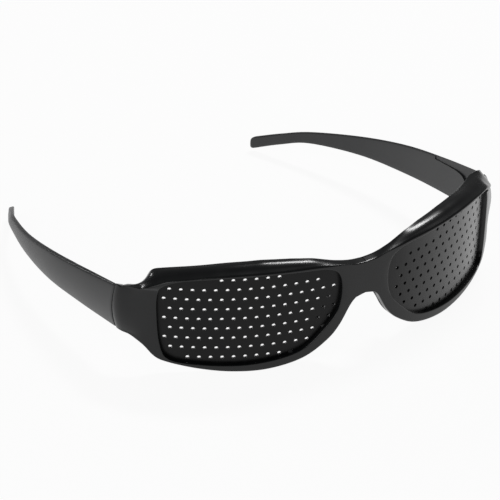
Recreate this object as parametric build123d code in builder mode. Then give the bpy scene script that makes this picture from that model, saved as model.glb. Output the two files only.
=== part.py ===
from build123d import *
import os
from math import asin, atan2, cos, degrees, pi, radians, sin, sqrt

# Pinhole glasses: a wrap-around front moulding that holds two perforated plates,
# and two temples on three-knuckle metal hinges.
#
# Everything is drawn as worn: x runs across the face, y from front to back and z up,
# with the middle of the right plate at y = 0 and z = 0.  The right half, on the -x side,
# is drawn and the left half mirrors it.  At the end the glasses are tipped onto
# their rims and temple tips, which is how they stand on a table.

os.makedirs("parts", exist_ok=True)

# Holes of the plates
hole_pitch = 3.6
row_pitch = 3.5
hole_diameter = 1.2
hole_sides = 6
left_hole_shift = 0.7
right_hole_turn = 1.2
# Rows counted up from the middle, each with its outermost and innermost hole in pitches
hole_row_shares = [
    (4, -2.5, 2.5), (3, -7, 6), (2, -7.5, 7.5), (1, -7, 7), (0, -7.5, 7.5),
    (-1, -7, 7), (-2, -7.5, 6.5), (-3, -7, 5), (-4, -5.5, 3.5),
]

# Plates and the wrap of the front
wrap_radius = 86.7
lens_centre_x = 36.7
lens_yaw = 23.0
eye_width = 57.8
eye_height = 32.8
plate_thickness = 0.8
plate_play = 0.1
groove_depth = 0.5
front_lip = 1.5
rear_lip = 0.8

# Front moulding
bridge_top = 13.9
bridge_bottom = 3.7
rim_drop = 18.5
lug_top = 9.3
lug_bottom = 7.0
lug_width = 40.5
brow_depth = 5.0
brow_proud = 0.8
brow_height = 19.3
brow_reach = 29.0
brow_setback = 9.0
brow_lead = 3.0
brow_fall = 0.2
brow_draw_in = 0.6
brow_foot_height = 7.5
temple_outer_x = 71.1
bend_radius = 6.0
seam_y = 26.7
lug_thickness = 2.6
block_thickness = 5.6
block_height = 9.0
block_length = 4.7
block_root = 0.5

# Moulded nose pads
pad_depth = 7.5
pad_thickness = 2.2
pad_flare = 30.0
pad_root = 1.8
pad_top = 2.6
pad_top_x = 5.2
pad_height = 12.0
pad_spread = 6.6

# Temples
seam_gap = 0.3
temple_length = 110.9
temple_top = 8.0
temple_bottom = 6.8
temple_thickness = 3.0
temple_edge = 0.7
tip_thickness = 2.2
tip_radius = 1.2
tip_inset = 20.6
tip_top_fall = 34.9
tip_bottom_fall = 24.8
recess_length = 8.4
recess_depth = 1.0
recess_corner = 4.0
recess_ceiling = 2.4

# Hinges
knuckle_radius = 1.3
knuckle_height = 1.8
knuckle_gap = 0.06
leaf_thickness = 0.9
leaf_seat = 0.05
pin_radius = 0.55
pin_play = 0.03
axis_back = 1.2
frame_leaf_length = 4.2
temple_leaf_length = 7.5
temple_leaf_height = 4.2
screw_head_radius = 1.05
screw_head_height = 0.6
slot_width = 0.3
slot_depth = 0.25
fixing_radius = 0.45
fixing_head_radius = 0.8
fixing_head_height = 0.35
fixing_length = 1.5
fixing_play = 0.3
frame_fixing_spacing = 2.8
temple_fixing_spacing = 3.0
temple_fixing_inset = 2.0
leaf_play = 0.25
hinge_height = -0.2

overrun = 20.0

# Shapes as shares of the sizes above, going round from the outer end
# Plate opening: across in half widths, up in half heights
opening_shares = [
    (-0.99, 0.10), (-0.975, 0.56), (-0.87, 0.79), (-0.58, 0.925), (0.03, 1.00), (0.57, 0.965),
    (0.88, 0.87), (0.985, 0.56), (0.96, 0.00), (0.785, -0.44), (0.52, -0.81), (0.02, -0.98),
    (-0.57, -0.975), (-0.86, -0.90), (-0.955, -0.60),
]
# Lower edge of the front: across in lug widths, down in rim drops
lower_edge_shares = [
    (-1.00, 0.385), (-0.915, 0.435), (-0.825, 0.555), (-0.735, 0.775), (-0.645, 0.85),
    (-0.42, 0.94), (-0.14, 1.00), (0.14, 0.99), (0.42, 0.86), (0.61, 0.60), (0.71, 0.35),
    (0.80, -0.015), (0.86, -0.155),
]
# Upper edge of the front face: across in lug widths, up in bridge heights
upper_edge_shares = [
    (0.84, 1.035), (0.69, 1.13), (0.41, 1.19), (0.07, 1.225), (-0.24, 1.18), (-0.42, 1.115),
    (-0.63, 1.00), (-0.745, 0.84), (-0.84, 0.72), (-0.92, 0.68),
]
# Crest of the brow: across in brow reaches, up in brow heights
brow_crest_shares = [
    (-1.07, 0.394), (-1.017, 0.513), (-0.955, 0.658), (-0.893, 0.736), (-0.77, 0.797), (-0.517, 0.878),
    (-0.26, 0.942), (0.0, 0.974), (0.14, 1.00), (0.41, 0.982), (0.66, 0.952), (0.79, 0.888),
    (0.92, 0.825), (1.05, 0.765), (1.16, 0.72),
]
# Plan of the brow: along the wrap in brow reaches, how proud its front stands in shares of
# the full amount, how far back it goes in shares of its depth
brow_plan_shares = [
    (-1.25, 1.0, 1.05), (-0.80, 1.0, 1.00), (-0.30, 1.0, 0.99), (0.00, 1.0, 0.92), (0.28, 0.8, 0.79),
    (0.55, 0.4, 0.65), (0.80, 0.0, 0.47), (1.16, -0.3, 0.34),
]
# Side of a nose pad: out in pad spreads, down in pad heights
pad_shares = [(0.0, 0.0), (0.34, 0.36), (0.62, 0.70), (1.0, 1.0)]
# Temple: how far along, then the inset of its outer face in tip insets, the fall of its
# top and of its bottom in those of the tip
temple_shares = [
    (0.0, 0.0, 0.0, 0.0), (0.2, -0.025, 0.16, 0.13), (0.4, 0.01, 0.325, 0.275),
    (0.6, 0.17, 0.515, 0.405), (0.8, 0.48, 0.72, 0.587), (0.9, 0.72, 0.85, 0.77), (1.0, 1.0, 1.0, 1.0),
]

# What follows from those sizes
yaw = radians(lens_yaw)
wrap_x = -lens_centre_x + wrap_radius * sin(yaw)
wrap_y = wrap_radius * cos(yaw)
hole_radius = hole_diameter / 2 * sqrt(2 * pi / (hole_sides * sin(2 * pi / hole_sides)))
lug_turn = asin((wrap_x + temple_outer_x - bend_radius) / (wrap_radius + front_lip - bend_radius))
rim_back = plate_thickness + plate_play + rear_lip
half_width = eye_width / 2
half_height = eye_height / 2
lug_x = -temple_outer_x + lug_thickness
block_x = -temple_outer_x + block_thickness
axis_x = block_x + leaf_seat + knuckle_radius
axis_y = seam_y + axis_back
stack_height = 3 * knuckle_height + 2 * knuckle_gap
temple_y = seam_y + seam_gap
recess_x = -temple_outer_x + temple_thickness - recess_depth
recess_back_y = temple_y + recess_length
tip_y = temple_y + temple_length

eye = Plane(origin=(-lens_centre_x, 0, 0), x_dir=(cos(yaw), -sin(yaw), 0), z_dir=(-sin(yaw), -cos(yaw), 0))
tip_bottom = -temple_bottom - tip_bottom_fall
rest_tilt = degrees(atan2(-rim_drop - tip_bottom, tip_y))
upright = Plane(
    origin=(axis_x, axis_y, hinge_height), x_dir=(1, 0, 0),
    z_dir=(0, sin(radians(rest_tilt)), cos(radians(rest_tilt))),
)
frame_fixings = [(-frame_fixing_spacing / 2, 0), (frame_fixing_spacing / 2, 0)]
temple_fixings = [(0, 0), (0, -temple_fixing_spacing)]
# Seats of the two leaves, both facing the middle: x of each plane runs down, y to the back
frame_seat = Plane(upright * Pos(block_x - axis_x, -axis_back - frame_leaf_length / 2, 0) * Rot(Y=90))
temple_seat = Plane(upright * Pos(recess_x - axis_x, temple_leaf_length - temple_fixing_inset, 0) * Rot(Y=90))


def wrap_point(radius, turn):
    """Point on a circle about the axis of the wrap."""
    return wrap_x + radius * sin(turn), wrap_y - radius * cos(turn)


def opening_points(grow):
    """Outline of the plate opening, grown all round."""
    return [(u * (half_width + grow), v * (half_height + grow)) for u, v in opening_shares]


def curved_slab(front, back, grow, holes=()):
    """Slab in flats one hole pitch wide that follows the wrap, cut to the opening's outline."""
    turn = hole_pitch / wrap_radius
    reach = round((half_width + overrun / 2) / hole_pitch)
    turns = [step * turn - yaw for step in range(-reach, reach + 1)]
    with BuildPart() as slab:
        with BuildSketch(Plane.XY.offset(-overrun)):
            with BuildLine():
                outer = Polyline(*[wrap_point(wrap_radius + front, a) for a in turns])
                inner = Polyline(*[wrap_point(wrap_radius - back, a) for a in reversed(turns)])
                Line(outer @ 1, inner @ 0)
                Line(inner @ 1, outer @ 0)
            make_face()
        extrude(amount=2 * overrun)
        with BuildSketch(eye.offset(overrun)):
            with BuildLine():
                Spline(*opening_points(grow), periodic=True)
            make_face()
            if holes:
                with Locations(*holes):
                    RegularPolygon(hole_radius, hole_sides, mode=Mode.SUBTRACT)
        extrude(amount=-2 * overrun, mode=Mode.INTERSECT)
    return slab.part


def perforated_plate(shift, tilt):
    """Right plate with its holes moved along the rows by a share of their pitch and then turned."""
    places = []
    for row, first, last in hole_row_shares:
        for step in range(round(last - first) + 1):
            across = (first + step - shift) * hole_pitch
            up = row * row_pitch
            turn = (across * cos(tilt) - up * sin(tilt)) / wrap_radius
            places.append((wrap_radius * sin(turn), across * sin(tilt) + up * cos(tilt)))
    return curved_slab(0, plate_thickness, groove_depth - plate_play, places)


def mirrored(part):
    """The same piece for the other side."""
    with BuildPart() as other:
        add(part)
        mirror(about=Plane.YZ, mode=Mode.REPLACE)
    return other.part


# Perforated plates, held all round in the grooves of the front.  The rows of the right one
# rise a little towards the nose, and the holes of the left one stand further out than a
# mirror image would have them
right_plate = perforated_plate(0, radians(right_hole_turn))
left_plate = mirrored(perforated_plate(left_hole_shift, 0))

# Right half of the front moulding: a thick wrapped band, trimmed to the outline
# that shows from the front
with BuildPart() as half_front:
    with BuildSketch(Plane.XY.offset(-2 * overrun)):
        with BuildLine():
            front_start = Line((0, wrap_y - wrap_radius - front_lip), (wrap_x, wrap_y - wrap_radius - front_lip))
            front_arc = CenterArc((wrap_x, wrap_y), wrap_radius + front_lip, 270, -degrees(lug_turn))
            bend = JernArc(
                front_arc @ 1, (-cos(lug_turn), sin(lug_turn)), bend_radius, -(90 - degrees(lug_turn)),
            )
            side = Line(bend @ 1, (-temple_outer_x, seam_y))
            end = Line(side @ 1, (lug_x, seam_y))
            inner_radius = wrap_radius - rim_back
            inner_turn = asin((wrap_x - lug_x) / inner_radius)
            inner_y = wrap_y - inner_radius * cos(inner_turn)
            lug_face = Line(end @ 1, (lug_x, inner_y))
            back_arc = CenterArc((wrap_x, wrap_y), inner_radius, 270 - degrees(inner_turn), degrees(inner_turn))
            back_start = Line(back_arc @ 1, (0, wrap_y - inner_radius))
            Line(back_start @ 1, front_start @ 0)
        make_face()
    extrude(amount=4 * overrun)

    with BuildSketch(eye):
        with BuildLine():
            lower = Spline(*[(u * lug_width, -v * rim_drop) for u, v in lower_edge_shares])
            notch = Line(lower @ 1, (lug_width + overrun, bridge_bottom))
            bridge_end = Line(notch @ 1, (lug_width + overrun, bridge_top))
            upper_points = [(u * lug_width, v * bridge_top) for u, v in upper_edge_shares]
            bridge_line = Line(bridge_end @ 1, upper_points[0])
            upper = Spline(*upper_points)
            lug_upper = Line(upper @ 1, (-lug_width - overrun, lug_top))
            lug_end = Line(lug_upper @ 1, (-lug_width - overrun, -lug_bottom))
            Line(lug_end @ 1, lower @ 0)
        make_face()
    extrude(amount=2 * overrun, both=True, mode=Mode.INTERSECT)


# Hinge block: a thicker stretch of the lug's end, which the front leaf is screwed to
with BuildPart() as hinge_block:
    with BuildSketch(Plane.XY.offset(hinge_height - block_height / 2)):
        with Locations((block_x, seam_y)):
            Rectangle(block_x - lug_x + block_root, block_length, align=(Align.MAX, Align.MAX))
    extrude(amount=block_height)

# Brow: a deeper band over the eye that thins towards the nose.  Its top falls towards the
# front and its outer end is rounded
with BuildPart() as brow:
    with BuildSketch(Plane.XY):
        with BuildLine():
            front_side = Spline(*[
                wrap_point(wrap_radius + front_lip + proud * brow_proud, along * brow_reach / wrap_radius - yaw)
                for along, proud, depth in brow_plan_shares
            ])
            back_side = Spline(*[
                wrap_point(wrap_radius - depth * brow_depth, along * brow_reach / wrap_radius - yaw)
                for along, proud, depth in reversed(brow_plan_shares)
            ])
            Line(front_side @ 1, back_side @ 0)
            Line(back_side @ 1, front_side @ 0)
        make_face()
    extrude(amount=2 * overrun)
    for forward, fall, draw_in in ((-brow_setback, 0, 0), (brow_lead, brow_fall, brow_draw_in)):
        with BuildSketch(eye.offset(forward)):
            with BuildLine():
                crest = Spline(*[
                    (u * (brow_reach - draw_in), v * brow_height - fall) for u, v in brow_crest_shares
                ])
                nose_side = Line(crest @ 1, ((crest @ 1).X, brow_foot_height - fall))
                under = Line(nose_side @ 1, ((crest @ 0).X, brow_foot_height - fall))
                Line(under @ 1, crest @ 0)
            make_face()
    loft(ruled=True, mode=Mode.INTERSECT)

# Nose pad: a flange behind the side of the notch that flares out towards the face
pad_points = [(-pad_top_x - u * pad_spread, pad_top - v * pad_height) for u, v in pad_shares]
with BuildPart() as pad:
    with BuildSketch(Plane.XZ.offset(wrap_radius - wrap_y - pad_root)):
        with BuildLine():
            inner_edge = Spline(*pad_points)
            foot = Line(inner_edge @ 1, inner_edge @ 1 - (pad_thickness, 0))
            outer_edge = Spline(*[(x - pad_thickness, z) for x, z in reversed(pad_points)])
            Line(outer_edge @ 1, inner_edge @ 0)
        make_face()
    extrude(amount=pad_depth, dir=(-sin(radians(pad_flare)), cos(radians(pad_flare)), 0))

# Front moulding: both halves joined at the bridge, with the openings, their grooves and
# the screw holes of the hinges cut out
with BuildPart() as front_half:
    add(half_front.part)
    add(hinge_block.part)
    add(brow.part)
    add(pad.part)
    with BuildSketch(eye):
        with BuildLine():
            Spline(*opening_points(0), periodic=True)
        make_face()
    extrude(amount=overrun, both=True, mode=Mode.SUBTRACT)
    add(curved_slab(plate_play, plate_thickness + plate_play, groove_depth), mode=Mode.SUBTRACT)
    with BuildSketch(frame_seat):
        Rectangle(stack_height + 2 * leaf_play, frame_leaf_length + 2 * leaf_play)
    extrude(amount=overrun, mode=Mode.SUBTRACT)
    with BuildSketch(frame_seat):
        with Locations(*frame_fixings):
            Circle(fixing_radius + pin_play)
    extrude(amount=-fixing_length - fixing_play, mode=Mode.SUBTRACT)

with BuildPart() as front_frame:
    add(front_half.part)
    mirror(about=Plane.YZ)

# Temple: a flat bar bent in plan and trimmed to its side view, with a recess for the
# hinge leaf on the inner side of its front end
with BuildPart() as temple:
    with BuildSketch(Plane.XY.offset(-2 * overrun)):
        with BuildLine():
            plan = [
                (-temple_outer_x + inset * tip_inset, temple_y + along * temple_length)
                for along, inset, top_fall, bottom_fall in temple_shares
            ]
            outer = Spline(*plan)
            tip = Line(outer @ 1, outer @ 1 + (tip_thickness, 0))
            inner = Spline(*[
                (x + temple_thickness + (tip_thickness - temple_thickness) * share[0], y)
                for (x, y), share in zip(reversed(plan), reversed(temple_shares))
            ])
            Line(inner @ 1, outer @ 0)
        make_face()
    extrude(amount=3 * overrun)
    with BuildSketch(Plane.YZ.offset(-temple_outer_x - overrun)):
        with BuildLine():
            upper = Spline(*[
                (temple_y + along * temple_length, temple_top - top_fall * tip_top_fall)
                for along, inset, top_fall, bottom_fall in temple_shares
            ])
            lower = Spline(*[
                (temple_y + along * temple_length, -temple_bottom - bottom_fall * tip_bottom_fall)
                for along, inset, top_fall, bottom_fall in reversed(temple_shares)
            ])
            Line(upper @ 1, lower @ 0)
            Line(lower @ 1, upper @ 0)
        make_face()
        fillet(vertices().sort_by(Axis.X)[-2:], tip_radius)
    extrude(amount=3 * overrun, mode=Mode.INTERSECT)
    fillet(edges().filter_by(lambda edge: edge.length > temple_length / 2), temple_edge)
    with BuildSketch(Plane.YZ.offset(recess_x)):
        with BuildLine():
            rear_y = recess_back_y + recess_corner
            top = Line((temple_y - overrun, overrun), (rear_y, overrun))
            drop = Line(top @ 1, (rear_y, recess_ceiling))
            corner = JernArc(drop @ 1, (-1, 0), recess_corner, 90)
            wall = Line(corner @ 1, (recess_back_y, -overrun))
            foot = Line(wall @ 1, (temple_y - overrun, -overrun))
            Line(foot @ 1, top @ 0)
        make_face()
    extrude(amount=overrun, mode=Mode.SUBTRACT)
    with BuildSketch(temple_seat):
        with Locations(*temple_fixings):
            Circle(fixing_radius + pin_play)
    extrude(amount=-fixing_length - fixing_play, mode=Mode.SUBTRACT)

# Leaf on the front: a flat plate with the upper and the lower knuckle
with BuildPart() as frame_leaf:
    with BuildSketch(upright.offset(-stack_height / 2)):
        Circle(knuckle_radius)
        with Locations((-knuckle_radius, 0)):
            Rectangle(leaf_thickness, axis_back + frame_leaf_length, align=(Align.MIN, Align.MAX))
    extrude(amount=stack_height)
    with BuildSketch(upright.offset(-knuckle_height / 2 - knuckle_gap)):
        Rectangle(2 * (knuckle_radius + leaf_play), 2 * (knuckle_radius + leaf_play))
    extrude(amount=knuckle_height + 2 * knuckle_gap, mode=Mode.SUBTRACT)
    with BuildSketch(upright.offset(-stack_height / 2)):
        Circle(pin_radius + pin_play)
    extrude(amount=stack_height, mode=Mode.SUBTRACT)
    with BuildSketch(frame_seat):
        with Locations(*frame_fixings):
            Circle(fixing_radius + pin_play)
    extrude(amount=overrun, mode=Mode.SUBTRACT)

# Leaf on the temple: one knuckle, a web across the gap and a flat plate in the recess
leaf_x = recess_x + leaf_seat - axis_x
with BuildPart() as temple_leaf:
    with BuildSketch(upright.offset(-knuckle_height / 2)):
        Circle(knuckle_radius)
        Rectangle(-leaf_x, leaf_thickness, align=(Align.MAX, Align.CENTER))
    extrude(amount=knuckle_height)
    with BuildSketch(upright.offset(-temple_leaf_height / 2)):
        with Locations((leaf_x, -leaf_thickness / 2)):
            Rectangle(leaf_thickness, temple_leaf_length, align=(Align.MIN, Align.MIN))
    extrude(amount=temple_leaf_height)
    with BuildSketch(upright.offset(-knuckle_height / 2)):
        Circle(pin_radius + pin_play)
    extrude(amount=knuckle_height, mode=Mode.SUBTRACT)
    with BuildSketch(temple_seat):
        with Locations(*temple_fixings):
            Circle(fixing_radius + pin_play)
    extrude(amount=2 * leaf_thickness, mode=Mode.SUBTRACT)

# Hinge screw: a slotted head on the upper knuckle and a shank through all three
with BuildPart() as hinge_screw:
    with BuildSketch(upright.offset(-stack_height / 2)):
        Circle(pin_radius)
    extrude(amount=stack_height + knuckle_gap)
    with BuildSketch(upright.offset(stack_height / 2 + knuckle_gap)):
        Circle(screw_head_radius)
    extrude(amount=screw_head_height)
    with BuildSketch(upright.offset(stack_height / 2 + knuckle_gap + screw_head_height)):
        Rectangle(2 * screw_head_radius, slot_width)
    extrude(amount=-slot_depth, mode=Mode.SUBTRACT)


def fixing_screws(seat, places):
    """Small screws that stand on a leaf and run through it into the moulding."""
    with BuildPart() as screws:
        with BuildSketch(seat.offset(leaf_seat + leaf_thickness + knuckle_gap)):
            with Locations(*places):
                Circle(fixing_head_radius)
        extrude(amount=fixing_head_height)
        with BuildSketch(seat.offset(leaf_seat + leaf_thickness + knuckle_gap)):
            with Locations(*places):
                Circle(fixing_radius)
        extrude(amount=-fixing_length - leaf_thickness)
    return screws


frame_screws = fixing_screws(frame_seat, frame_fixings)
temple_screws = fixing_screws(temple_seat, temple_fixings)

# The glasses standing on their rims and temple tips, with the origin under the middle
pieces = {"front_frame": front_frame.part, "right_lens": right_plate, "left_lens": left_plate}
for name, piece in [
    ("temple", temple), ("hinge_frame_leaf", frame_leaf),
    ("hinge_temple_leaf", temple_leaf), ("hinge_screw", hinge_screw),
    ("frame_leaf_screws", frame_screws), ("temple_leaf_screws", temple_screws),
]:
    pieces["right_" + name] = piece.part
    pieces["left_" + name] = mirrored(piece.part)

tipped = {name: Rot(X=rest_tilt) * piece for name, piece in pieces.items()}
box = Compound([solid for piece in tipped.values() for solid in piece.solids()]).bounding_box()
ground = Pos(-box.center().X, -box.center().Y, -box.min.Z)
for name, piece in tipped.items():
    standing = ground * piece
    standing.label = name
    export_step(standing, "parts/" + name + ".step")

axis_point = ground * Rot(X=rest_tilt) * Pos(axis_x, axis_y, hinge_height)
print("tilt at rest", round(rest_tilt, 3), "degrees")
print("size", [round(v, 3) for v in box.size])
print("right hinge axis at", [round(v, 4) for v in axis_point.position])
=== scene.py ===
# %% [markdown]
# # Pinhole glasses
# A pair of black wrap-around glasses whose lenses are plates full of small holes.  The engineering
# model has every piece at its place and size, and its hinges and screws are used as they are.
# This lesson makes the front, the temples and the plates anew, with the soft moulded edges, the
# crowned faces and the round holes of the real ones, and then gives every piece its finish.

# %% Load the engineering model
from math import asin, cos, pi, radians, sin
import bpy
from mathutils import Matrix, Vector


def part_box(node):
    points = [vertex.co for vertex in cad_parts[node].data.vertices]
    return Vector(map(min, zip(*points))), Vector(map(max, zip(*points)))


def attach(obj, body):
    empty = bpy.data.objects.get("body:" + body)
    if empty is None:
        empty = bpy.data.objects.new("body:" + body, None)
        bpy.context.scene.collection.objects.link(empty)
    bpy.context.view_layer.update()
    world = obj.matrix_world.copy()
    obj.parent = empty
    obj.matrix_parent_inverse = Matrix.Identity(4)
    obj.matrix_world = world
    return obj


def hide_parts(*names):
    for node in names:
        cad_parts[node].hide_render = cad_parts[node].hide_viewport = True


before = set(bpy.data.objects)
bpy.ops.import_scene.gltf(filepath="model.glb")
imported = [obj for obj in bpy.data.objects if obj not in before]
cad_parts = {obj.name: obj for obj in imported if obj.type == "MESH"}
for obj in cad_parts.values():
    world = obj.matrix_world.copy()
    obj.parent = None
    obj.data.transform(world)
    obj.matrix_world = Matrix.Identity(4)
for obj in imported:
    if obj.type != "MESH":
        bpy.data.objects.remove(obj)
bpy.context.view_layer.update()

mm = 0.001
sides = {"right": -1, "left": 1}
print("nodes", sorted(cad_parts))

# %% [markdown]
# ## Where the glasses stand
# The glasses are easiest to describe as worn, with the lenses upright.  On a table they stand on
# their rims and on the tips of the temples, so they lean back a little.  One matrix turns worn
# places into standing ones.  It is found from the hinge screw, whose place is known both ways.

# %% Worn place to standing place
rest_tilt = radians(5.427)
hinge_worn = Vector((-64.15, 27.9, -0.2)) * mm
stack_height = 5.52 * mm
screw_low, screw_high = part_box("right_hinge_screw")
hinge_standing = Vector((
    (screw_low.x + screw_high.x) / 2, (screw_low.y + screw_high.y) / 2, screw_low.z + stack_height / 2,
))
lean = Matrix.Rotation(rest_tilt, 4, "X")
standing = Matrix.Translation(hinge_standing - lean @ hinge_worn) @ lean
print("standing moves the worn origin to", [round(v / mm, 2) for v in standing.translation])

# %% [markdown]
# ## The wrap
# The front follows the face.  Each half of it lies on an upright cylinder whose axis is set off
# to the side, and the plate sits square on that cylinder.  These few sizes, in millimetres, are
# shared by the front and the plates, so that the plates fit their openings.

# %% Sizes of the wrap
wrap_radius = 86.7
lens_centre_x = 36.7
lens_yaw = radians(23.0)
eye_half_width = 28.9
eye_half_height = 16.4
print("each opening is about", 2 * eye_half_width, "by", 2 * eye_half_height, "mm")

# %% [markdown]
# ## Working tools
# Blender's operators act on all that is selected, so every step starts by selecting only its own
# piece.  A modifier is applied at once, so that each piece ends as a plain mesh, and after a shape
# is closed its doubled points are merged and its faces turned outwards.

# %% Helpers for modelling by hand
def select_only(*objects):
    """Deselects everything, then selects these and makes the first one active."""
    if bpy.context.object and bpy.context.object.mode != "OBJECT":
        bpy.ops.object.mode_set(mode="OBJECT")
    bpy.ops.object.select_all(action="DESELECT")
    for one in objects:
        one.select_set(True)
    bpy.context.view_layer.objects.active = objects[0]


def apply_place(piece):
    """Moves the piece's place into its mesh, so that its object sits at the origin."""
    select_only(piece)
    bpy.ops.object.transform_apply(location=True, rotation=True, scale=True)


def apply_modifier(piece, kind, **settings):
    """Adds one modifier, sets it and applies it."""
    select_only(piece)
    modifier = piece.modifiers.new(kind.title(), kind)
    for name, value in settings.items():
        setattr(modifier, name, value)
    bpy.ops.object.modifier_apply(modifier=modifier.name)


def outward(piece, merge=0.001):
    """Merges doubled points, closer than merge in millimetres, and turns every face outwards."""
    select_only(piece)
    bpy.ops.object.mode_set(mode="EDIT")
    bpy.ops.mesh.select_all(action="SELECT")
    bpy.ops.mesh.remove_doubles(threshold=merge * mm)
    bpy.ops.mesh.normals_make_consistent(inside=False)
    bpy.ops.object.mode_set(mode="OBJECT")


def triangle_count(piece):
    """Triangles in a piece's mesh."""
    return sum(len(face.vertices) - 2 for face in piece.data.polygons)


# %% [markdown]
# ## The front moulding
# The front is what the eye goes to: a band that wraps round the face, a glossy brow that stands
# out over each lens, a lug that turns back to the hinge.  It could be extruded flat and bent with
# a Simple Deform modifier, but that bends evenly, and here the wrap, the tight bend at the lug and
# the straight end each have their own radius.  So the front is drawn as if it were rolled flat,
# with a place along the band, a height and a depth, and one function rolls it round the face.
# The outer face of each lug is crowned, and the left one a little more.

# %% From the flat drawing to the face
front_lip = 1.5
temple_outer_x = 71.1
bend_radius = 6.0
seam_y = 26.45
wrap_x = wrap_radius * sin(lens_yaw) - lens_centre_x
wrap_y = wrap_radius * cos(lens_yaw)
bend_reach = wrap_radius + front_lip - bend_radius
lug_turn = asin((wrap_x + temple_outer_x - bend_radius) / bend_reach)
bend_x = wrap_x - bend_reach * sin(lug_turn)
bend_y = wrap_y - bend_reach * cos(lug_turn)
bend_start = (lens_yaw - lug_turn) * wrap_radius
bend_length = bend_radius * (pi / 2 - lug_turn)
seam_along = bend_start - bend_length - (seam_y - bend_y)
lug_crown = {"right": 1.4, "left": 2.0}
crown_middle = 0.6
crown_reach = 8.2
crown_start = -33
crown_blend = 7


def front_place(along, up, depth, crown):
    """Worn place on the right half, from along the wrap, up and out in front of the lens."""
    turn = along / wrap_radius - lens_yaw
    onset = min(max((crown_start - along) / crown_blend, 0), 1)
    depth -= crown * onset**2 * (3 - 2 * onset) * min(((up - crown_middle) / crown_reach) ** 2, 1)
    if turn > 0:
        return Vector((wrap_x + turn * wrap_radius, wrap_y - wrap_radius - depth, up))
    if along > bend_start:
        radius = wrap_radius + depth
        return Vector((wrap_x + radius * sin(turn), wrap_y - radius * cos(turn), up))
    further = bend_start - along
    angle = lug_turn + min(further, bend_length) / bend_radius
    radius = bend_radius - front_lip + depth
    straight = max(0.0, further - bend_length)
    return Vector((bend_x - radius * sin(angle), bend_y - radius * cos(angle) + straight, up))


print("the lug ends", round(seam_along, 1), "mm along")

# %% [markdown]
# A few knots give each outline, as a maker would draw it with a spline.  The opening for the plate
# is the inner outline.  The outer one runs along the lower rim, up the side of the nose notch, over
# the bridge and back along the top edge of the front face.  The crest is the rear top edge of the
# brow, which lies deeper and higher than the front face.  The two ends of the brow differ on this
# pair: the left one stands higher.

# %% Knots of the outlines
# Opening for a plate: across in half widths, up in half heights
plate_outline = [
    (-0.99, 0.10), (-0.975, 0.56), (-0.87, 0.79), (-0.58, 0.925), (0.03, 1.00), (0.57, 0.965),
    (0.88, 0.87), (0.985, 0.56), (0.96, 0.00), (0.785, -0.44), (0.52, -0.81), (0.02, -0.98),
    (-0.57, -0.975), (-0.86, -0.90), (-0.955, -0.60),
]
lug_top = 8.5
lug_bottom = -7.7
bridge_beyond = 44.0
bridge_top = 13.9
bridge_bottom = 3.7
lower_knots = [
    (-42.6, -7.75), (-41.0, -7.9), (-37.6, -8.5), (-33.7, -10.4), (-29.9, -14.3), (-26.1, -15.8),
    (-16.8, -17.5), (-5.6, -18.6), (5.6, -18.4), (16.8, -15.9), (24.6, -11.1), (28.8, -6.5),
    (32.6, 0.3), (35.2, 2.9),
]
upper_knots = [
    (34.3, 14.4), (27.9, 15.7), (16.4, 16.9), (2.8, 17.4), (-9.6, 16.9), (-16.8, 15.9), (-25.4, 14.1),
    (-30.3, 11.7), (-34.3, 10.0), (-37.8, 9.45), (-41.0, 8.9),
]
# Along the front edge, then the crest's own along, up and depth
crest_nose_knots = [
    (-16.0, -16.0, 16.8, -5.1), (-8.0, -8.0, 17.95, -4.9), (0.0, 0.0, 18.55, -4.6), (4.0, 4.0, 18.95, -4.1),
    (12.0, 12.0, 18.65, -3.7), (16.0, 16.0, 18.4, -3.2), (20.0, 20.0, 18.0, -2.7), (24.0, 24.0, 16.9, -2.4),
    (28.0, 28.0, 15.8, -2.0), (34.3, 34.3, 14.6, -1.7), (44.0, 44.0, 14.1, -1.7),
]
crest_knots = {
    "right": [
        (-44.6, -44.6, 7.5, -1.1), (-42.5, -42.5, 7.8, -1.1), (-41.0, -41.0, 8.15, -1.1),
        (-39.6, -39.0, 8.4, -1.4), (-38.2, -36.9, 8.4, -2.4), (-36.8, -35.5, 8.3, -4.0),
        (-35.2, -34.7, 9.2, -4.9), (-33.6, -34.0, 10.9, -5.1), (-32.0, -33.2, 12.6, -5.2),
        (-30.3, -31.9, 13.9, -5.2), (-28.0, -29.2, 14.6, -5.2), (-24.0, -24.5, 15.5, -5.2),
    ] + crest_nose_knots,
    "left": [
        (-44.6, -44.6, 7.5, -1.1), (-42.5, -42.3, 8.5, -1.1), (-41.0, -40.8, 9.8, -1.1),
        (-39.6, -39.3, 11.4, -1.1), (-38.2, -37.6, 12.9, -1.4), (-36.8, -35.8, 14.0, -2.1),
        (-35.2, -34.2, 14.8, -2.9), (-33.6, -32.8, 15.3, -3.5), (-32.0, -31.4, 15.6, -4.0),
        (-30.3, -30.0, 15.8, -4.5), (-28.0, -28.0, 15.9, -4.9), (-24.0, -24.0, 16.05, -5.1),
    ] + crest_nose_knots,
}
# Along, how far the face of the brow stands out
proud_knots = [
    (-45, 0), (-36, 0), (-33, 0.45), (-30, 0.75), (-24, 0.8), (0, 0.8), (8, 0.65), (16, 0.3),
    (23, 0), (45, 0),
]
print(len(plate_outline), "knots round an opening,", len(lower_knots + upper_knots), "on the outer outline")

# %% [markdown]
# Blender's own curves could join the knots, but the next steps also need the curve's value at any
# place and points at even spacing, and a short spline of our own gives both.

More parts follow.
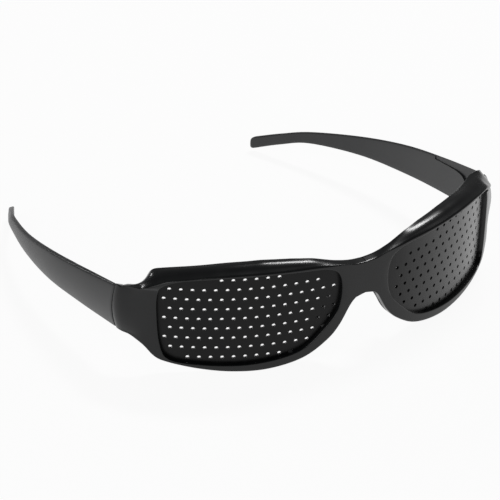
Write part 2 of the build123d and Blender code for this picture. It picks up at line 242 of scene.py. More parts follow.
# %% Smooth curves through knots
def smooth_path(knots, closed=False, steps=24):
    """Dense points on a smooth curve through the knots."""
    knots = [Vector(knot) for knot in knots]
    count = len(knots)
    pairs = range(count if closed else count - 1)
    points = []
    for k in pairs:
        if closed:
            before, start, end, after = (knots[(k + shift) % count] for shift in (-1, 0, 1, 2))
        else:
            start, end = knots[k], knots[k + 1]
            before = knots[k - 1] if k > 0 else 2 * start - end
            after = knots[k + 2] if k + 2 < count else 2 * end - start
        for step in range(steps):
            f = step / steps
            points.append(
                0.5 * (2 * start + (end - before) * f + (2 * before - 5 * start + 4 * end - after) * f**2
                       + (3 * start - before - 3 * end + after) * f**3)
            )
    if not closed:
        points.append(knots[-1])
    return points


def even_points(path, count):
    """That many points at even spacing along a path, both ends included."""
    lengths = [0.0]
    for a, b in zip(path, path[1:]):
        lengths.append(lengths[-1] + (b - a).length)
    result = []
    k = 0
    for step in range(count):
        want = lengths[-1] * step / (count - 1)
        while k < len(path) - 2 and lengths[k + 1] < want:
            k += 1
        share = (want - lengths[k]) / max(lengths[k + 1] - lengths[k], 1e-9)
        result.append(path[k].lerp(path[k + 1], min(max(share, 0), 1)))
    return result


def value_at(knots, along):
    """Smooth value of a table of knots at a place along a piece."""
    path = smooth_path(knots, steps=8)
    for a, b in zip(path, path[1:]):
        if a[0] <= along <= b[0]:
            share = (along - a[0]) / max(b[0] - a[0], 1e-9)
            return a.lerp(b, share)
    return path[0] if along < path[0][0] else path[-1]


print("the brow stands out", round(value_at(proud_knots, 0).y, 2), "mm over the middle of a lens")

# %% [markdown]
# The band round one opening is a ring: wherever it is cut across, the cut is a small rounded
# four-sided shape.  A box with a hole in it and a Bevel modifier would round all edges alike, and
# the brow is far rounder than the rim.  So a flat grid of squares is rolled into the ring.  Its
# rows go from the opening out over the face, round the outer edge and back behind, and its columns
# go round the opening.  Pairs of matching places on the two outlines keep the rows from crossing.

# %% Matching places on the two outlines
lower_path = smooth_path(lower_knots)
upper_path = smooth_path(upper_knots)
outer_path = [Vector((seam_along, lug_bottom))] + lower_path
outer_path += [Vector((bridge_beyond, bridge_bottom)), Vector((bridge_beyond, bridge_top))]
outer_path += upper_path + [Vector((seam_along, lug_top)), Vector((seam_along, lug_bottom))]

opening_knots = [(u * eye_half_width, v * eye_half_height) for u, v in reversed(plate_outline)]
inner_path = [
    Vector((wrap_radius * asin(point.x / wrap_radius), point.y))
    for point in smooth_path(opening_knots, closed=True)
]


def nearest(path, place):
    """Number of the point on a path that is closest to a place."""
    return min(range(len(path)), key=lambda k: (path[k] - Vector(place)).length)


# Outer place, inner place, how many rows up to the next pair
matches = [
    ((seam_along, lug_bottom), (-28.6, -5.5), 12), ((-37.6, -8.05), (-28.4, -9.0), 8),
    ((-29.9, -14.3), (-26.6, -13.6), 8), ((-21.0, -16.9), (-20.0, -15.9), 14),
    ((-5.6, -18.6), (-5.0, -16.2), 16), ((10.0, -17.8), (8.5, -15.2), 14),
    ((24.6, -11.1), (21.2, -9.4), 10), ((30.5, -3.6), (25.6, -4.0), 8),
    ((35.2, 2.9), (27.4, 0.0), 6), ((bridge_beyond, bridge_bottom), (28.2, 3.2), 6),
    ((bridge_beyond, bridge_top), (28.9, 8.6), 6), ((34.3, 14.4), (28.0, 11.8), 10),
    ((24.0, 16.3), (22.8, 15.0), 12), ((8.0, 17.3), (7.6, 16.4), 14),
    ((-9.6, 16.9), (-9.4, 16.0), 14), ((-25.4, 14.1), (-23.6, 13.6), 10),
    ((-32.3, 10.8), (-28.0, 11.2), 12), ((-40.0, 9.1), (-28.7, 8.2), 7),
    ((seam_along, lug_top), (-28.9, 6.0), 14),
]


def ring_rows():
    """Matching points on the outer and the inner outline, one pair for each row of the ring."""
    rows = []
    for k, (outer, inner, count) in enumerate(matches):
        next_outer, next_inner, _ = matches[(k + 1) % len(matches)]
        outer_start = nearest(outer_path, outer)
        outer_end = nearest(outer_path, next_outer)
        inner_start = nearest(inner_path, inner)
        inner_end = nearest(inner_path, next_inner)
        if k == len(matches) - 1:
            outer_end = len(outer_path) - 1
        outside = outer_path[outer_start:outer_end + 1]
        if inner_end >= inner_start:
            inside = inner_path[inner_start:inner_end + 1]
        else:
            inside = inner_path[inner_start:] + inner_path[:inner_end + 1]
        outside = even_points(outside, count + 1)[:-1]
        inside = even_points(inside, count + 1)[:-1]
        rows += list(zip(outside, inside))
    return rows


rows = ring_rows()
print(len(rows), "rows round the opening")

# %% [markdown]
# Each cut has four corners: the opening's front edge, the outer front edge, the rear edge or the
# crest, and the opening's rear edge.  Under the crest the band is deep, so its front corner gets
# the largest rounding and its top swells a little, which is what catches the light on the brow.
# At the seam with the temple the edges stay crisp.

# %% A rounded cut across the band
rear_depth = -1.7
lug_rear_depth = -1.1
lug_rear_reach = 2
opening_edge = 0.3
seam_edge = 0.1
rim_edge = 0.5
brow_front_edge = 1.1
brow_rear_edge = 0.3
brow_swell = 0.6
brow_depth = 3
most_of_side = 0.42
nearly = 0.01
points_on_sides = (8, 6, 8, 2)


def rounded_corner(before, corner, after, radius, count=4):
    """Points on a soft corner, which takes less than half of either side."""
    start = corner + (before - corner).normalized() * min(radius, (before - corner).length * most_of_side)
    end = corner + (after - corner).normalized() * min(radius, (after - corner).length * most_of_side)
    result = []
    for step in range(count):
        f = step / (count - 1)
        result.append(start * (1 - f) ** 2 + corner * 2 * f * (1 - f) + end * f**2)
    return result


def cut_across(outer, inner, word):
    """Closed row of places: opening edge, face, outer edge, top or rim, back, opening wall."""
    on_top = outer.y > lug_top - nearly
    face = front_lip + (value_at(proud_knots, outer.x).y if on_top else 0.0)
    if on_top:
        crest = value_at(crest_knots[word], outer.x)
        rear = Vector((crest.y, crest.z, crest.w))
    elif outer.x < bend_start + lug_rear_reach:
        rear = Vector((outer.x, outer.y, lug_rear_depth))
    else:
        rear = Vector((outer.x, outer.y, rear_depth))
    deep = min(max((rear_depth - rear.z) / brow_depth, 0), 1)
    at_seam = outer.x < seam_along + nearly
    face_inner = Vector((inner.x, inner.y, face))
    face_outer = Vector((outer.x, outer.y, face))
    wall_inner = Vector((inner.x, inner.y, rear.z if deep > 0 else rear_depth))
    front_edge = seam_edge if at_seam else rim_edge + brow_front_edge * deep
    rear_edge = seam_edge if at_seam else rim_edge + brow_rear_edge * deep
    corners = [
        (wall_inner, face_inner, face_outer, opening_edge), (face_inner, face_outer, rear, front_edge),
        (face_outer, rear, wall_inner, rear_edge), (rear, wall_inner, face_inner, opening_edge),
    ]
    softened = [rounded_corner(*corner) for corner in corners]
    points = []
    for k, corner in enumerate(softened):
        points += corner
        start, end = corner[-1], softened[(k + 1) % 4][0]
        for step in range(1, points_on_sides[k]):
            f = step / points_on_sides[k]
            point = start.lerp(end, f)
            if k == 1:
                point.y += brow_swell * deep * sin(pi * f)
            points.append(point)
    return points


print(len(cut_across(*rows[0], "right")), "points round each cut")

# %% [markdown]
# The grid primitive has as many rows as there are cuts, and the last row and column lie on the
# first, so that merging doubled points closes the ring.  Bisect then ends it at the middle plane.

# %% Two halves of the front
def rolled_half(word, side):
    """Grid of squares whose rows lie on the cuts, closed into a ring and ended at the bridge."""
    sections = [cut_across(outer, inner, word) for outer, inner in rows]
    across = len(sections[0])
    bpy.ops.object.select_all(action="DESELECT")
    bpy.ops.mesh.primitive_grid_add(x_subdivisions=across, y_subdivisions=len(sections), size=1)
    ring = bpy.context.object
    ring.name = word + "_front_half"
    places = []
    for section in sections + sections[:1]:
        places += [front_place(*point, lug_crown[word]) * mm for point in section + section[:1]]
    for vertex, place in zip(ring.data.vertices, places):
        vertex.co = (place.x * -side, place.y, place.z)
    outward(ring)
    select_only(ring)
    bpy.ops.object.mode_set(mode="EDIT")
    bpy.ops.mesh.select_all(action="SELECT")
    bpy.ops.mesh.bisect(plane_co=(0, 0, 0), plane_no=(side, 0, 0), clear_inner=True)
    bpy.ops.object.mode_set(mode="OBJECT")
    return ring


halves = [rolled_half(word, side) for word, side in sides.items()]
print("halves of the front", [triangle_count(half) for half in halves], "triangles")

# %% [markdown]
# The nose pads are moulded on behind the sides of the notch and flare out towards the face.  A pad
# is a thin curved leaf, so a grid is laid on its curve, Solidify gives it its wall and Bevel its
# soft edge.

# %% Nose pad
pad_knots = [(0.0, 0.0), (0.34, 0.36), (0.62, 0.70), (1.0, 1.0)]
pad_top = 2.6
pad_top_x = 5.4
pad_height = 10.6
pad_spread = 6.6
pad_depth = 6.4
pad_flare = radians(30.0)
pad_thickness = 2.2
pad_edge = 0.7
pad_setback = 0.4
pad_start_y = wrap_y - wrap_radius + pad_setback


def nose_pad():
    """Flange behind the side of the notch that flares out towards the face."""
    down, back = 12, 6
    bpy.ops.object.select_all(action="DESELECT")
    bpy.ops.mesh.primitive_grid_add(x_subdivisions=down, y_subdivisions=back, size=1)
    pad = bpy.context.object
    pad.name = "nose_pad"
    side = even_points(smooth_path(pad_knots), down + 1)
    for k, vertex in enumerate(pad.data.vertices):
        out = side[k % (down + 1)]
        reach = (k // (down + 1)) / back * pad_depth
        vertex.co = Vector((
            -pad_top_x - out.x * pad_spread - reach * sin(pad_flare), pad_start_y + reach * cos(pad_flare),
            pad_top - out.y * pad_height,
        )) * mm
    apply_modifier(pad, "SOLIDIFY", thickness=pad_thickness * mm, offset=1)
    outward(pad)
    apply_modifier(
        pad, "BEVEL", width=pad_edge * mm, segments=3, limit_method="ANGLE", angle_limit=radians(50),
    )
    return pad


pad = nose_pad()
print("nose pad", triangle_count(pad), "triangles")

# %% [markdown]
# A small block inside each lug carries the steel leaf of the hinge.  It is a cube with bevelled
# edges that overlaps the band, so that it joins it without a gap.

# %% Hinge block
block_inner_x = -65.5
block_size = Vector((3.2, 4.7, 9.0))
block_edge = 0.4
block_up = -0.2
block_middle = Vector((block_inner_x - block_size.x / 2, seam_y - block_size.y / 2, block_up))
bpy.ops.object.select_all(action="DESELECT")
bpy.ops.mesh.primitive_cube_add(size=1, location=block_middle * mm, scale=block_size * mm)
block = bpy.context.object
block.name = "hinge_block"
apply_place(block)
apply_modifier(block, "BEVEL", width=block_edge * mm, segments=3)
print("hinge block", triangle_count(block), "triangles")

# %% [markdown]
# Each half ends at the middle of the bridge, so the two are joined there and their doubled points
# merged, so that no seam is seen.  The pad and the block are mirrored to the other side and united
# with the front by a Boolean, because on the real one they come out of the same mould.

# %% Whole front
select_only(*halves)
bpy.ops.object.join()
front = bpy.context.object
outward(front, merge=0.02)
for extra in (pad, block):
    apply_modifier(extra, "MIRROR", use_axis=(True, False, False))
    outward(extra)
    apply_modifier(front, "BOOLEAN", object=extra, operation="UNION", solver="EXACT")
    bpy.data.objects.remove(extra)
front.name = "front_moulding"
front.data.transform(standing)
outward(front)
select_only(front)
bpy.ops.object.shade_smooth_by_angle(angle=radians(40))
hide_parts("front_frame")
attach(front, "front")
print("front", triangle_count(front), "triangles")

# %% [markdown]
# ## The temples
# A temple is a long flat bar that bends down and inwards behind the ear.  Its outer face is
# slightly crowned, which shows as a bowed seam against the lug.  A cube could be stretched,
# subdivided and bent, but its top and bottom edges fall at different rates towards the tip.  So
# it is made from the same kind of grid as the front, as rounded cuts along its length.

# %% Sizes of a temple
temple_start = 27.15
temple_length = 110.75
temple_top = 7.7
temple_bottom = -7.9
temple_thickness = 3.0
tip_thickness = 2.2
tip_inset = 20.6
tip_top_fall = 35.1
tip_bottom_fall = 24.2
tip_rounding = 1.5
tip_end_height = 0.4
tip_end_thickness = 0.1
temple_edge = 0.7
start_ease = 0.12
start_ease_until = 0.4
crown_loss = 0.5
crown_fade = 12
points_on_bar = (9, 3, 7, 3)
# How far each temple is lifted, and how much further in its tip lies: the left one is sprung
flex = {"right": (0.0, 0.0), "left": (1.0, 1.6)}
# How far along, then shares of the inset of the outer face and of the fall of top and bottom
temple_knots = [
    (0.0, 0.0, 0.0, 0.0), (0.2, -0.025, 0.16, 0.13), (0.4, 0.01, 0.325, 0.275), (0.6, 0.17, 0.515, 0.405),
    (0.8, 0.48, 0.72, 0.587), (0.9, 0.72, 0.85, 0.77), (1.0, 1.0, 1.0, 1.0),
]
print("a temple reaches", temple_start + temple_length, "mm back")

# %% A rounded cut across a temple
def bar_cut(word, share):
    """Closed row of places on one temple at a share of its length."""
    lift, more_inset = flex[word]
    knot = value_at(temple_knots, share)
    back = temple_start + share * temple_length
    outer = -temple_outer_x + knot.y * (tip_inset + more_inset)
    thick = temple_thickness + (tip_thickness - temple_thickness) * share
    top = temple_top - knot.z * tip_top_fall + lift
    low = temple_bottom - knot.w * tip_bottom_fall + lift
    to_tip = (1 - share) * temple_length
    if to_tip < tip_rounding:
        full = max(1 - (1 - to_tip / tip_rounding) ** 2, 0.0) ** 0.5
        middle = (top + low) / 2
        half_high = (top - low) / 2 * (tip_end_height + (1 - tip_end_height) * full)
        top, low = middle + half_high, middle - half_high
        slim = thick * (tip_end_thickness + (1 - tip_end_thickness) * full**0.5)
        outer += (thick - slim) / 2
        thick = slim
    start = share * temple_length / temple_edge
    ease = start_ease * (1 - start) if start < start_ease_until else 0.0
    corners = [
        Vector((outer + ease, low + ease)), Vector((outer + ease, top - ease)),
        Vector((outer + thick - ease, top - ease)), Vector((outer + thick - ease, low + ease)),
    ]
    middle, half_high = (top + low) / 2, max((top - low) / 2, nearly)
    crown = lug_crown[word] * (1 - crown_loss * share) * min(to_tip / crown_fade, 1)
    softened = [
        rounded_corner(corners[k - 1], corners[k], corners[(k + 1) % 4], temple_edge) for k in range(4)
    ]
    points = []
    for k, many in enumerate(points_on_bar):
        points += softened[k]
        end = softened[(k + 1) % 4][0]
        points += [softened[k][-1].lerp(end, step / many) for step in range(1, many)]
    result = []
    for point in points:
        outside = (outer + thick - point.x) / thick
        shift = outside * crown * ((point.y - middle) / half_high) ** 2
        result.append(Vector((point.x + shift, back, point.y)))
    return result


print(len(bar_cut("right", 0.5)), "points round each cut of a temple")

# %% A whole temple
start_shares = [0.0, 0.002, 0.006]
bar_first_share = 0.01
bar_reach_share = 0.965
bar_steps = 70
bar_shares = [bar_first_share + bar_reach_share * step / bar_steps for step in range(bar_steps + 1)]
tip_steps = (0.93, 0.75, 0.58, 0.42, 0.28, 0.16, 0.07, 0.02, 0.0)
tip_shares = [1 - tip_rounding / temple_length * step for step in tip_steps]
print(len(start_shares + bar_shares + tip_shares), "cuts along a temple")


def temple_bar(word, side):
    """Whole temple of one side, as worn."""
    cuts = [bar_cut(word, share) for share in start_shares + bar_shares + tip_shares]
    bpy.ops.object.select_all(action="DESELECT")
    bpy.ops.mesh.primitive_grid_add(x_subdivisions=len(cuts[0]), y_subdivisions=len(cuts) - 1, size=1)
    bar = bpy.context.object
    bar.name = word + "_temple_moulding"
    places = []
    for cut in cuts:
        places += cut + cut[:1]
    for vertex, place in zip(bar.data.vertices, places):
        vertex.co = Vector((place.x * -side, place.y, place.z)) * mm
    outward(bar)
    bpy.ops.object.mode_set(mode="EDIT")
    bpy.ops.mesh.select_all(action="SELECT")
    bpy.ops.mesh.fill_holes(sides=0)
    bpy.ops.mesh.select_all(action="SELECT")
    bpy.ops.mesh.normals_make_consistent(inside=False)
    bpy.ops.object.mode_set(mode="OBJECT")
    return bar


# %% [markdown]
# A shallow recess inside the front end takes the steel leaf.  Its edge sweeps back under the top
# edge of the temple and fades out there, which shows on the far temple.  The recess is cut with a
# prism: a flat curve is filled, extruded and made a mesh.  The plates are cut the same way later.

# %% Prism of a flat outline
def flat_prism(name, points, reach, soft):
    """Prism of an outline, as deep up as down.  A soft one runs in curves through its points."""
    curve = bpy.data.curves.new(name, "CURVE")
    curve.dimensions = "2D"
    curve.fill_mode = "BOTH"
    curve.extrude = reach * mm
    spline = curve.splines.new("BEZIER" if soft else "POLY")
    if soft:
        spline.bezier_points.add(len(points) - 1)
        for knot, (across, up) in zip(spline.bezier_points, points):
            knot.co = (across * mm, up * mm, 0)
            knot.handle_left_type = "AUTO"
            knot.handle_right_type = "AUTO"
    else:
        spline.points.add(len(points) - 1)
        for point, (across, up) in zip(spline.points, points):
            point.co = (across * mm, up * mm, 0, 1)
    spline.use_cyclic_u = True
    prism = bpy.data.objects.new(name, curve)
    bpy.context.scene.collection.objects.link(prism)
    select_only(prism)
    bpy.ops.object.convert(target="MESH")
    return bpy.context.object


# %% Make the temples
recess_floor = 1.0
# Back and up: the edge of the recess, which tapers off under the top edge
recess_knots = [(35.4, -2.0), (35.8, 0.3), (37.0, 1.8), (39.4, 2.4), (43.0, 2.2), (48.0, 1.5), (54.0, 0.6)]
recess_back = recess_knots[-1][0]
recess_reach = 5
clear_height = 20.0
recess_start = temple_start - recess_reach
recess_outline = [Vector((recess_start, -clear_height)), Vector((recess_knots[0][0], -clear_height))]
recess_outline += smooth_path(recess_knots, steps=6)
recess_outline += [Vector((recess_back, clear_height)), Vector((recess_start, clear_height))]

temples = {}
for word, side in sides.items():
    temple = temple_bar(word, side)
    cutter = flat_prism("recess", recess_outline, recess_reach, soft=False)
    cutter_x = (-temple_outer_x + temple_thickness - recess_floor + recess_reach) * -side * mm
    cutter.data.transform(Matrix(((0, 0, -side, cutter_x), (1, 0, 0, 0), (0, 1, 0, 0), (0, 0, 0, 1))))
    outward(cutter)
    apply_modifier(temple, "BOOLEAN", object=cutter, operation="DIFFERENCE", solver="EXACT")
    bpy.data.objects.remove(cutter)
    temple.data.transform(standing)
    outward(temple)
    bpy.ops.object.shade_smooth_by_angle(angle=radians(35))
    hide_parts(word + "_temple")
    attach(temple, word + "_temple_arm")
    temples[word] = temple
    print(word, "temple", triangle_count(temple), "triangles")

# %% [markdown]
# ## Perforated plates
# Each plate is thin black sheet with nine rows of round holes, every second row shifted by half a
# pitch.  On this pair the pattern of the right plate is turned a little, and the left one's is
# shifted by most of a pitch.  The holes could be painted on with a transparent texture, but light
# falls through them and their walls show, so they are cut.

# %% Hole pattern
hole_pitch = 3.6
row_pitch = 3.5
hole_diameter = 1.2
plate_thickness = 0.8
hole_rows = [
    (4, -2.5, 2.5), (3, -7, 6), (2, -7.5, 7.5), (1, -7, 7), (0, -7.5, 7.5),
    (-1, -7, 7), (-2, -7.5, 6.5), (-3, -7, 5), (-4, -5.5, 3.5),
]


def hole_places(shift, tilt, lift):
    """Centres of the holes, across and up, with the pattern shifted, turned and lifted on its plate."""
    places = []
    for row, first, last in hole_rows:
        for step in range(round(last - first) + 1):
            across = (first + step - shift) * hole_pitch
            up = row * row_pitch
            turn = (across * cos(tilt) - up * sin(tilt)) / wrap_radius
            places.append((wrap_radius * sin(turn), across * sin(tilt) + up * cos(tilt) + lift))
    return places


patterns = {"right": hole_places(0, radians(1.24), 0.15), "left": hole_places(0.71, 0, -0.24)}
print(len(patterns["right"]), "holes in a plate")


# %% [markdown]
# The sheet itself is a strip of a cylinder primitive.  The rest of the cylinder is deleted, and
# Solidify gives the strip its wall.

# %% A curved sheet
arc_segments = 24


def delete_faces(piece, unwanted):
    """Deletes the faces for which unwanted(face) is true."""
    select_only(piece)
    bpy.ops.object.mode_set(mode="EDIT")
    bpy.ops.mesh.select_mode(type="FACE")
    bpy.ops.mesh.select_all(action="DESELECT")
    bpy.ops.object.mode_set(mode="OBJECT")
    for face in piece.data.polygons:
        face.select = unwanted(face)
    bpy.ops.object.mode_set(mode="EDIT")
    bpy.ops.mesh.delete(type="FACE")
    bpy.ops.object.mode_set(mode="OBJECT")


def curved_sheet(name, margin):
    """Part of an upright cylinder with a wall of the plate's thickness."""
    reach = eye_half_width + margin
    half_turn = asin(reach / wrap_radius)
    segments = round(2 * pi / half_turn * arc_segments)
    bpy.ops.object.select_all(action="DESELECT")
    bpy.ops.mesh.primitive_cylinder_add(
        vertices=segments, radius=wrap_radius * mm, depth=2 * (eye_half_height + margin) * mm,
        end_fill_type="NOTHING", location=(0, 0, -wrap_radius * mm), rotation=(pi / 2, 0, 0),
    )
    sheet = bpy.context.object
    sheet.name = name
    apply_place(sheet)
    delete_faces(sheet, lambda face: face.center.z < -wrap_radius * (1 - cos(half_turn)) * mm)
    outward(sheet)
    up_front = max(sheet.data.polygons, key=lambda face: face.center.z)
    if up_front.normal.z < 0:
        select_only(sheet)
        bpy.ops.object.mode_set(mode="EDIT")
        bpy.ops.mesh.select_all(action="SELECT")
        bpy.ops.mesh.flip_normals()
        bpy.ops.object.mode_set(mode="OBJECT")
    apply_modifier(sheet, "SOLIDIFY", thickness=plate_thickness * mm, offset=-1)
    return sheet


# %% [markdown]
# One round punch is a short cylinder.  It is copied to every hole, and the copies are joined, so
# that a single Boolean cuts all the holes.

# %% Punches for the holes
punch_sides = 20


def hole_punches(places, depth):
    """One mesh of round punches, one at each hole."""
    bpy.ops.object.select_all(action="DESELECT")
    bpy.ops.mesh.primitive_cylinder_add(
        vertices=punch_sides, radius=hole_diameter / 2 * mm, depth=depth * mm,
    )
    first = bpy.context.object
    punches = []
    for across, up in places:
        fall = wrap_radius * (1 - cos(asin(across / wrap_radius)))
        punch = first.copy()
        punch.data = first.data.copy()
        punch.location = (across * mm, up * mm, -fall * mm)
        bpy.context.scene.collection.objects.link(punch)
        punches.append(punch)
    bpy.data.objects.remove(first)
    select_only(*punches)
    bpy.ops.object.join()
    joined = bpy.context.object
    apply_place(joined)
    return joined


# %% [markdown]
# The sheet is cut to the outline of its opening, grown all round by what sits in the groove of the
# front.  It is then set into its half of the wrap by one matrix.  The left plate's matrix mirrors
# it, which turns its faces inside out, so the normals are made consistent again afterwards.

# %% Cut the plates
plate_grow = 0.4
sheet_margin = 2.0
cutter_reach = 30
punch_depth = 3
grown_width = eye_half_width + plate_grow
grown_height = eye_half_height + plate_grow
plate_points = [(u * grown_width, v * grown_height) for u, v in plate_outline]


def lens_matrix(side):
    """Frame of one lens: x towards the nose, y up, z out in front."""
    across = Vector((-side * cos(lens_yaw), -sin(lens_yaw), 0))
    front = Vector((side * sin(lens_yaw), -cos(lens_yaw), 0))
    turned = Matrix((across, Vector((0, 0, 1)), front)).transposed().to_4x4()
    return standing @ Matrix.Translation(Vector((side * lens_centre_x, 0, 0)) * mm) @ turned


plates = {}
for word, side in sides.items():
    plate = curved_sheet(word + "_plate", sheet_margin)
    prism = flat_prism("outline", plate_points, cutter_reach, soft=True)
    outward(prism)
    punches = hole_punches(patterns[word], punch_depth)
    apply_modifier(plate, "BOOLEAN", object=prism, operation="INTERSECT", solver="EXACT")
    apply_modifier(plate, "BOOLEAN", object=punches, operation="DIFFERENCE", solver="EXACT")
    bpy.data.objects.remove(prism)
    bpy.data.objects.remove(punches)
    plate.data.transform(lens_matrix(side))
    outward(plate)
    select_only(plate)
    bpy.ops.object.shade_smooth_by_angle(angle=radians(30))
    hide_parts(word + "_lens")
    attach(plate, "front")
    plates[word] = plate
    print(word, "plate", triangle_count(plate), "triangles")

# %% [markdown]
# ## Finishes
# Black moulded plastic isn't evenly black.  Under a soft light the mould's fine texture breaks up
# the gloss, and the finish changes from a polished front to satin plates and temples.  A picture
# of the grain would need its own unwrapping on every piece, so it is made from noise that reads
# the piece's own place in space.  One node group makes it, and each material places the group with
# its own values.

# %% Grain group
broad_share = 0.08


def grain_group():
    """Fine cloudy grain: a mask from 0 to 1 and a height."""
    group = bpy.data.node_groups.new("moulding_grain", "ShaderNodeTree")
    for name, value in (("Scale", 2500.0), ("Detail", 4.0)):
        socket = group.interface.new_socket(name, in_out="INPUT", socket_type="NodeSocketFloat")
        socket.default_value = value
    group.interface.new_socket("Mask", in_out="OUTPUT", socket_type="NodeSocketFloat")
    group.interface.new_socket("Height", in_out="OUTPUT", socket_type="NodeSocketFloat")
    nodes, links = group.nodes, group.links
    entry = nodes.new("NodeGroupInput")
    leave = nodes.new("NodeGroupOutput")
    place = nodes.new("ShaderNodeTexCoord")
    broad = nodes.new("ShaderNodeTexNoise")
    fine = nodes.new("ShaderNodeTexNoise")
    coarser = nodes.new("ShaderNodeMath")
    coarser.operation = "MULTIPLY"
    coarser.inputs[1].default_value = broad_share
    links.new(entry.outputs["Scale"], coarser.inputs[0])
    links.new(place.outputs["Object"], broad.inputs["Vector"])
    links.new(place.outputs["Object"], fine.inputs["Vector"])
    links.new(coarser.outputs[0], broad.inputs["Scale"])
    links.new(entry.outputs["Scale"], fine.inputs["Scale"])
    links.new(entry.outputs["Detail"], fine.inputs["Detail"])
    links.new(broad.outputs["Fac"], leave.inputs["Mask"])
    links.new(fine.outputs["Fac"], leave.inputs["Height"])
    return group


grain = grain_group()
print("grain group with", [socket.name for socket in grain.interface.items_tree])

# %% [markdown]
# Every finish is the same small tree with its own values.  The broad part of the grain shifts the
# colour and the roughness a little, and the fine part feeds a very shallow bump.

# %% Plastic
grain_height = 0.05


def plastic(name, colours, roughness, scale, bump, shine=0.5):
    """Moulded plastic: colour and gloss vary with the grain."""
    material = bpy.data.materials.new(name)
    material.use_nodes = True
    nodes, links = material.node_tree.nodes, material.node_tree.links
    shader = nodes["Principled BSDF"]
    shader.inputs["Specular IOR Level"].default_value = shine
    pattern = nodes.new("ShaderNodeGroup")
    pattern.node_tree = grain
    pattern.inputs["Scale"].default_value = scale
    tint = nodes.new("ShaderNodeValToRGB")
    tint.color_ramp.elements[0].position = 0.3
    tint.color_ramp.elements[1].position = 0.7
    tint.color_ramp.elements[0].color = (*colours[0], 1)
    tint.color_ramp.elements[1].color = (*colours[1], 1)
    gloss = nodes.new("ShaderNodeMapRange")
    gloss.inputs["To Min"].default_value = roughness[0]
    gloss.inputs["To Max"].default_value = roughness[1]
    height = nodes.new("ShaderNodeBump")
    height.inputs["Strength"].default_value = bump
    height.inputs["Distance"].default_value = grain_height * mm
    links.new(pattern.outputs["Mask"], tint.inputs["Fac"])
    links.new(pattern.outputs["Mask"], gloss.inputs["Value"])
    links.new(pattern.outputs["Height"], height.inputs["Height"])
    links.new(tint.outputs["Color"], shader.inputs["Base Color"])
    links.new(gloss.outputs["Result"], shader.inputs["Roughness"])
    links.new(height.outputs["Normal"], shader.inputs["Normal"])
    return material


front_plastic = plastic(
    "black_front_plastic", ((0.003, 0.0035, 0.004), (0.005, 0.0055, 0.006)),
    roughness=(0.2, 0.24), scale=2500, bump=0.003, shine=0.36,
)
temple_plastic = plastic(
    "black_temple_plastic", ((0.014, 0.0145, 0.0155), (0.02, 0.0205, 0.022)),
    roughness=(0.34, 0.42), scale=2500, bump=0.12,
)
plate_plastic = plastic(
    "black_plate_plastic", ((0.003, 0.003, 0.0033), (0.005, 0.005, 0.0053)),
    roughness=(0.3, 0.38), scale=3000, bump=0.15, shine=0.2,
)
print("three plastics, one for the front, the temples and the plates")

# %% [markdown]
# A satin sheet that is deep black from the front turns pale at a slant.  On the far plate that is
# plain to see, from dark at the nose to grey at the lug.  A Layer Weight node measures the slant
# and lays a soft coat over the plastic only there.

# %% Sheen of the plates
def sheen_at_a_slant(material):
    """Adds a coat that shows only where the surface is seen at a slant."""
    nodes, links = material.node_tree.nodes, material.node_tree.links
    slant = nodes.new("ShaderNodeLayerWeight")
    slant.inputs["Blend"].default_value = 0.5
    amount = nodes.new("ShaderNodeMapRange")
    amount.inputs["From Min"].default_value = 0.3
    amount.inputs["From Max"].default_value = 0.75
    shader = nodes["Principled BSDF"]
    shader.inputs["Coat Roughness"].default_value = 0.3
    links.new(slant.outputs["Facing"], amount.inputs["Value"])
    links.new(amount.outputs["Result"], shader.inputs["Coat Weight"])


sheen_at_a_slant(plate_plastic)
print("sheen added to", plate_plastic.name)

# %% [markdown]
# The leaves and screws of the hinges are tumbled steel.  Steel is the plastic's tree with full
# metal and a bright colour, and its grain reads as the fine marks of the tumbling.

# %% Steel
tumbling = 0.1


def steel(name, colours, roughness, scale):
    """Bright steel with fine tumbling marks."""
    material = plastic(name, colours, roughness, scale, tumbling)
    material.node_tree.nodes["Principled BSDF"].inputs["Metallic"].default_value = 1.0
    return material


hinge_steel = steel("hinge_steel", ((0.42, 0.42, 0.43), (0.6, 0.6, 0.61)), (0.25, 0.4), 3000)
screw_steel = steel("screw_steel", ((0.35, 0.35, 0.36), (0.5, 0.5, 0.5)), (0.2, 0.32), 4000)

# %% Give every piece its finish
finishes = {front: front_plastic}
for word in sides:
    finishes[temples[word]] = temple_plastic
    finishes[plates[word]] = plate_plastic
for name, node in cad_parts.items():
    if "hinge_frame_leaf" in name or "hinge_temple_leaf" in name:
        finishes[node] = hinge_steel
    elif "screw" in name:
        finishes[node] = screw_steel
for piece, material in finishes.items():
    if piece.data.materials:
        for slot in range(len(piece.data.materials)):
            piece.data.materials[slot] = material
    else:
        piece.data.materials.append(material)
print(len(finishes), "pieces have a finish")

# %% [markdown]
# ## The table and the light
# The glasses stand in a white studio with no visible edge between table and wall.  Stronger lamps
# would whiten the floor too, but they would grey the plastic.  So the floor glows in part, only
# for the camera and in reflections, and with the rest of its shading it keeps a faint shadow.

# %% Floor
floor_size = 6.0
floor_gap = 0.02
white_to_camera = 0.93
white_in_gloss = 0.9


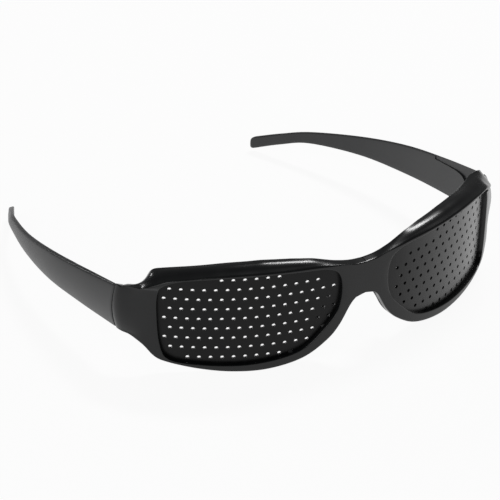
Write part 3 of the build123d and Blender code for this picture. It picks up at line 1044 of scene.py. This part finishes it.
def backdrop_material():
    """White to the camera and in reflections, with a share of real shading for the shadow."""
    material = bpy.data.materials.new("studio_white")
    material.use_nodes = True
    nodes, links = material.node_tree.nodes, material.node_tree.links
    shaded = nodes["Principled BSDF"]
    shaded.inputs["Base Color"].default_value = (0.85, 0.85, 0.85, 1)
    shaded.inputs["Roughness"].default_value = 0.9
    glow = nodes.new("ShaderNodeEmission")
    glow.inputs["Strength"].default_value = 1.0
    rays = nodes.new("ShaderNodeLightPath")
    seen = nodes.new("ShaderNodeMath")
    seen.operation = "MULTIPLY"
    seen.inputs[1].default_value = white_to_camera
    mirrored = nodes.new("ShaderNodeMath")
    mirrored.operation = "MULTIPLY_ADD"
    mirrored.inputs[1].default_value = white_in_gloss
    mixed = nodes.new("ShaderNodeMixShader")
    links.new(rays.outputs["Is Camera Ray"], seen.inputs[0])
    links.new(rays.outputs["Is Glossy Ray"], mirrored.inputs[0])
    links.new(seen.outputs[0], mirrored.inputs[2])
    links.new(mirrored.outputs[0], mixed.inputs["Fac"])
    links.new(shaded.outputs["BSDF"], mixed.inputs[1])
    links.new(glow.outputs["Emission"], mixed.inputs[2])
    links.new(mixed.outputs["Shader"], nodes["Material Output"].inputs["Surface"])
    return material


bpy.ops.object.select_all(action="DESELECT")
bpy.ops.mesh.primitive_plane_add(size=floor_size, location=(0, 0, -floor_gap * mm))
floor = bpy.context.object
floor.name = "studio_floor"
floor.data.materials.append(backdrop_material())
apply_place(floor)
print("the floor is", floor_size, "m wide")

# %% [markdown]
# The world is the wall behind the table.  It looks white, and lights the glasses only softly.

# %% World
fill_strength = 0.15
world = bpy.data.worlds.new("studio")
bpy.context.scene.world = world
world.use_nodes = True
nodes, links = world.node_tree.nodes, world.node_tree.links
soft_fill = nodes["Background"]
soft_fill.inputs["Color"].default_value = (1, 1, 1, 1)
soft_fill.inputs["Strength"].default_value = fill_strength
white_wall = nodes.new("ShaderNodeBackground")
white_wall.inputs["Strength"].default_value = 1.0
rays = nodes.new("ShaderNodeLightPath")
choice = nodes.new("ShaderNodeMixShader")
links.new(rays.outputs["Is Camera Ray"], choice.inputs["Fac"])
links.new(soft_fill.outputs["Background"], choice.inputs[1])
links.new(white_wall.outputs["Background"], choice.inputs[2])
links.new(choice.outputs["Shader"], nodes["World Output"].inputs["Surface"])
print("world fill", fill_strength)

# %% [markdown]
# Three soft boxes do the rest.  A glossy black edge shows a lamp only where it mirrors it, so each
# box stands where its reflection is wanted: a long one for the bright line along the brow, one
# behind for the edges of the near temple, and a large one that lifts the near lug and temple.

# %% Lamps
def soft_box(name, place, target, width, height, power):
    """Soft light of that width and height, in metres and watts, which faces a point."""
    light = bpy.data.lights.new(name, "AREA")
    light.shape = "RECTANGLE"
    light.size = width
    light.size_y = height
    light.energy = power
    lamp = bpy.data.objects.new(name, light)
    lamp.location = place
    lamp.rotation_euler = (Vector(target) - Vector(place)).to_track_quat("-Z", "Y").to_euler()
    bpy.context.scene.collection.objects.link(lamp)
    return lamp


lamps = [
    soft_box("brow_box", (0.49, 0.25, 0.88), (0, -0.03, 0.03), width=0.36, height=0.12, power=5),
    soft_box("rear_box", (-0.3, 0.9, 0.5), (-0.06, -0.04, 0.03), width=0.12, height=0.12, power=1),
    soft_box("left_box", (-0.9, -0.3, 0.6), (0, 0, 0.02), width=0.8, height=0.8, power=4),
]
print("lamps", [(lamp.name, lamp.data.energy) for lamp in lamps])

# %% [markdown]
# ## The camera
# The photograph is taken with a long lens from the wearer's right front, well above the table.
# The camera could be turned by eye, but it is given by angles, a distance and a point to look at,
# because these can be solved from the even rows of holes.

# %% Camera
image_width = 500
camera_target = Vector((-25.1025, 20.1754, 10.6205)) * mm
camera_distance = 937.849 * mm
camera_azimuth = radians(-31.938)
camera_elevation = radians(31.50)
camera_roll = radians(1.4735)
sensor_width = 36.0
lens_length = 2984.03 / image_width * sensor_width
backward = Vector((
    sin(camera_azimuth) * cos(camera_elevation), -cos(camera_azimuth) * cos(camera_elevation),
    sin(camera_elevation),
))
level = Vector((0, 0, 1)).cross(backward).normalized()
upward = backward.cross(level)
right_axis = level * cos(camera_roll) + upward * sin(camera_roll)
up_axis = upward * cos(camera_roll) - level * sin(camera_roll)
pose = Matrix((right_axis, up_axis, backward)).transposed().to_4x4()
pose.translation = camera_target + backward * camera_distance
shot = bpy.data.cameras.new("photo_camera")
shot.lens = lens_length
shot.sensor_width = sensor_width
camera = bpy.data.objects.new("photo_camera", shot)
camera.matrix_world = standing @ pose
bpy.context.scene.collection.objects.link(camera)
bpy.context.scene.camera = camera
bpy.context.scene.view_settings.view_transform = "Standard"
print("lens of", round(lens_length), "mm at", round(camera_distance, 2), "m")
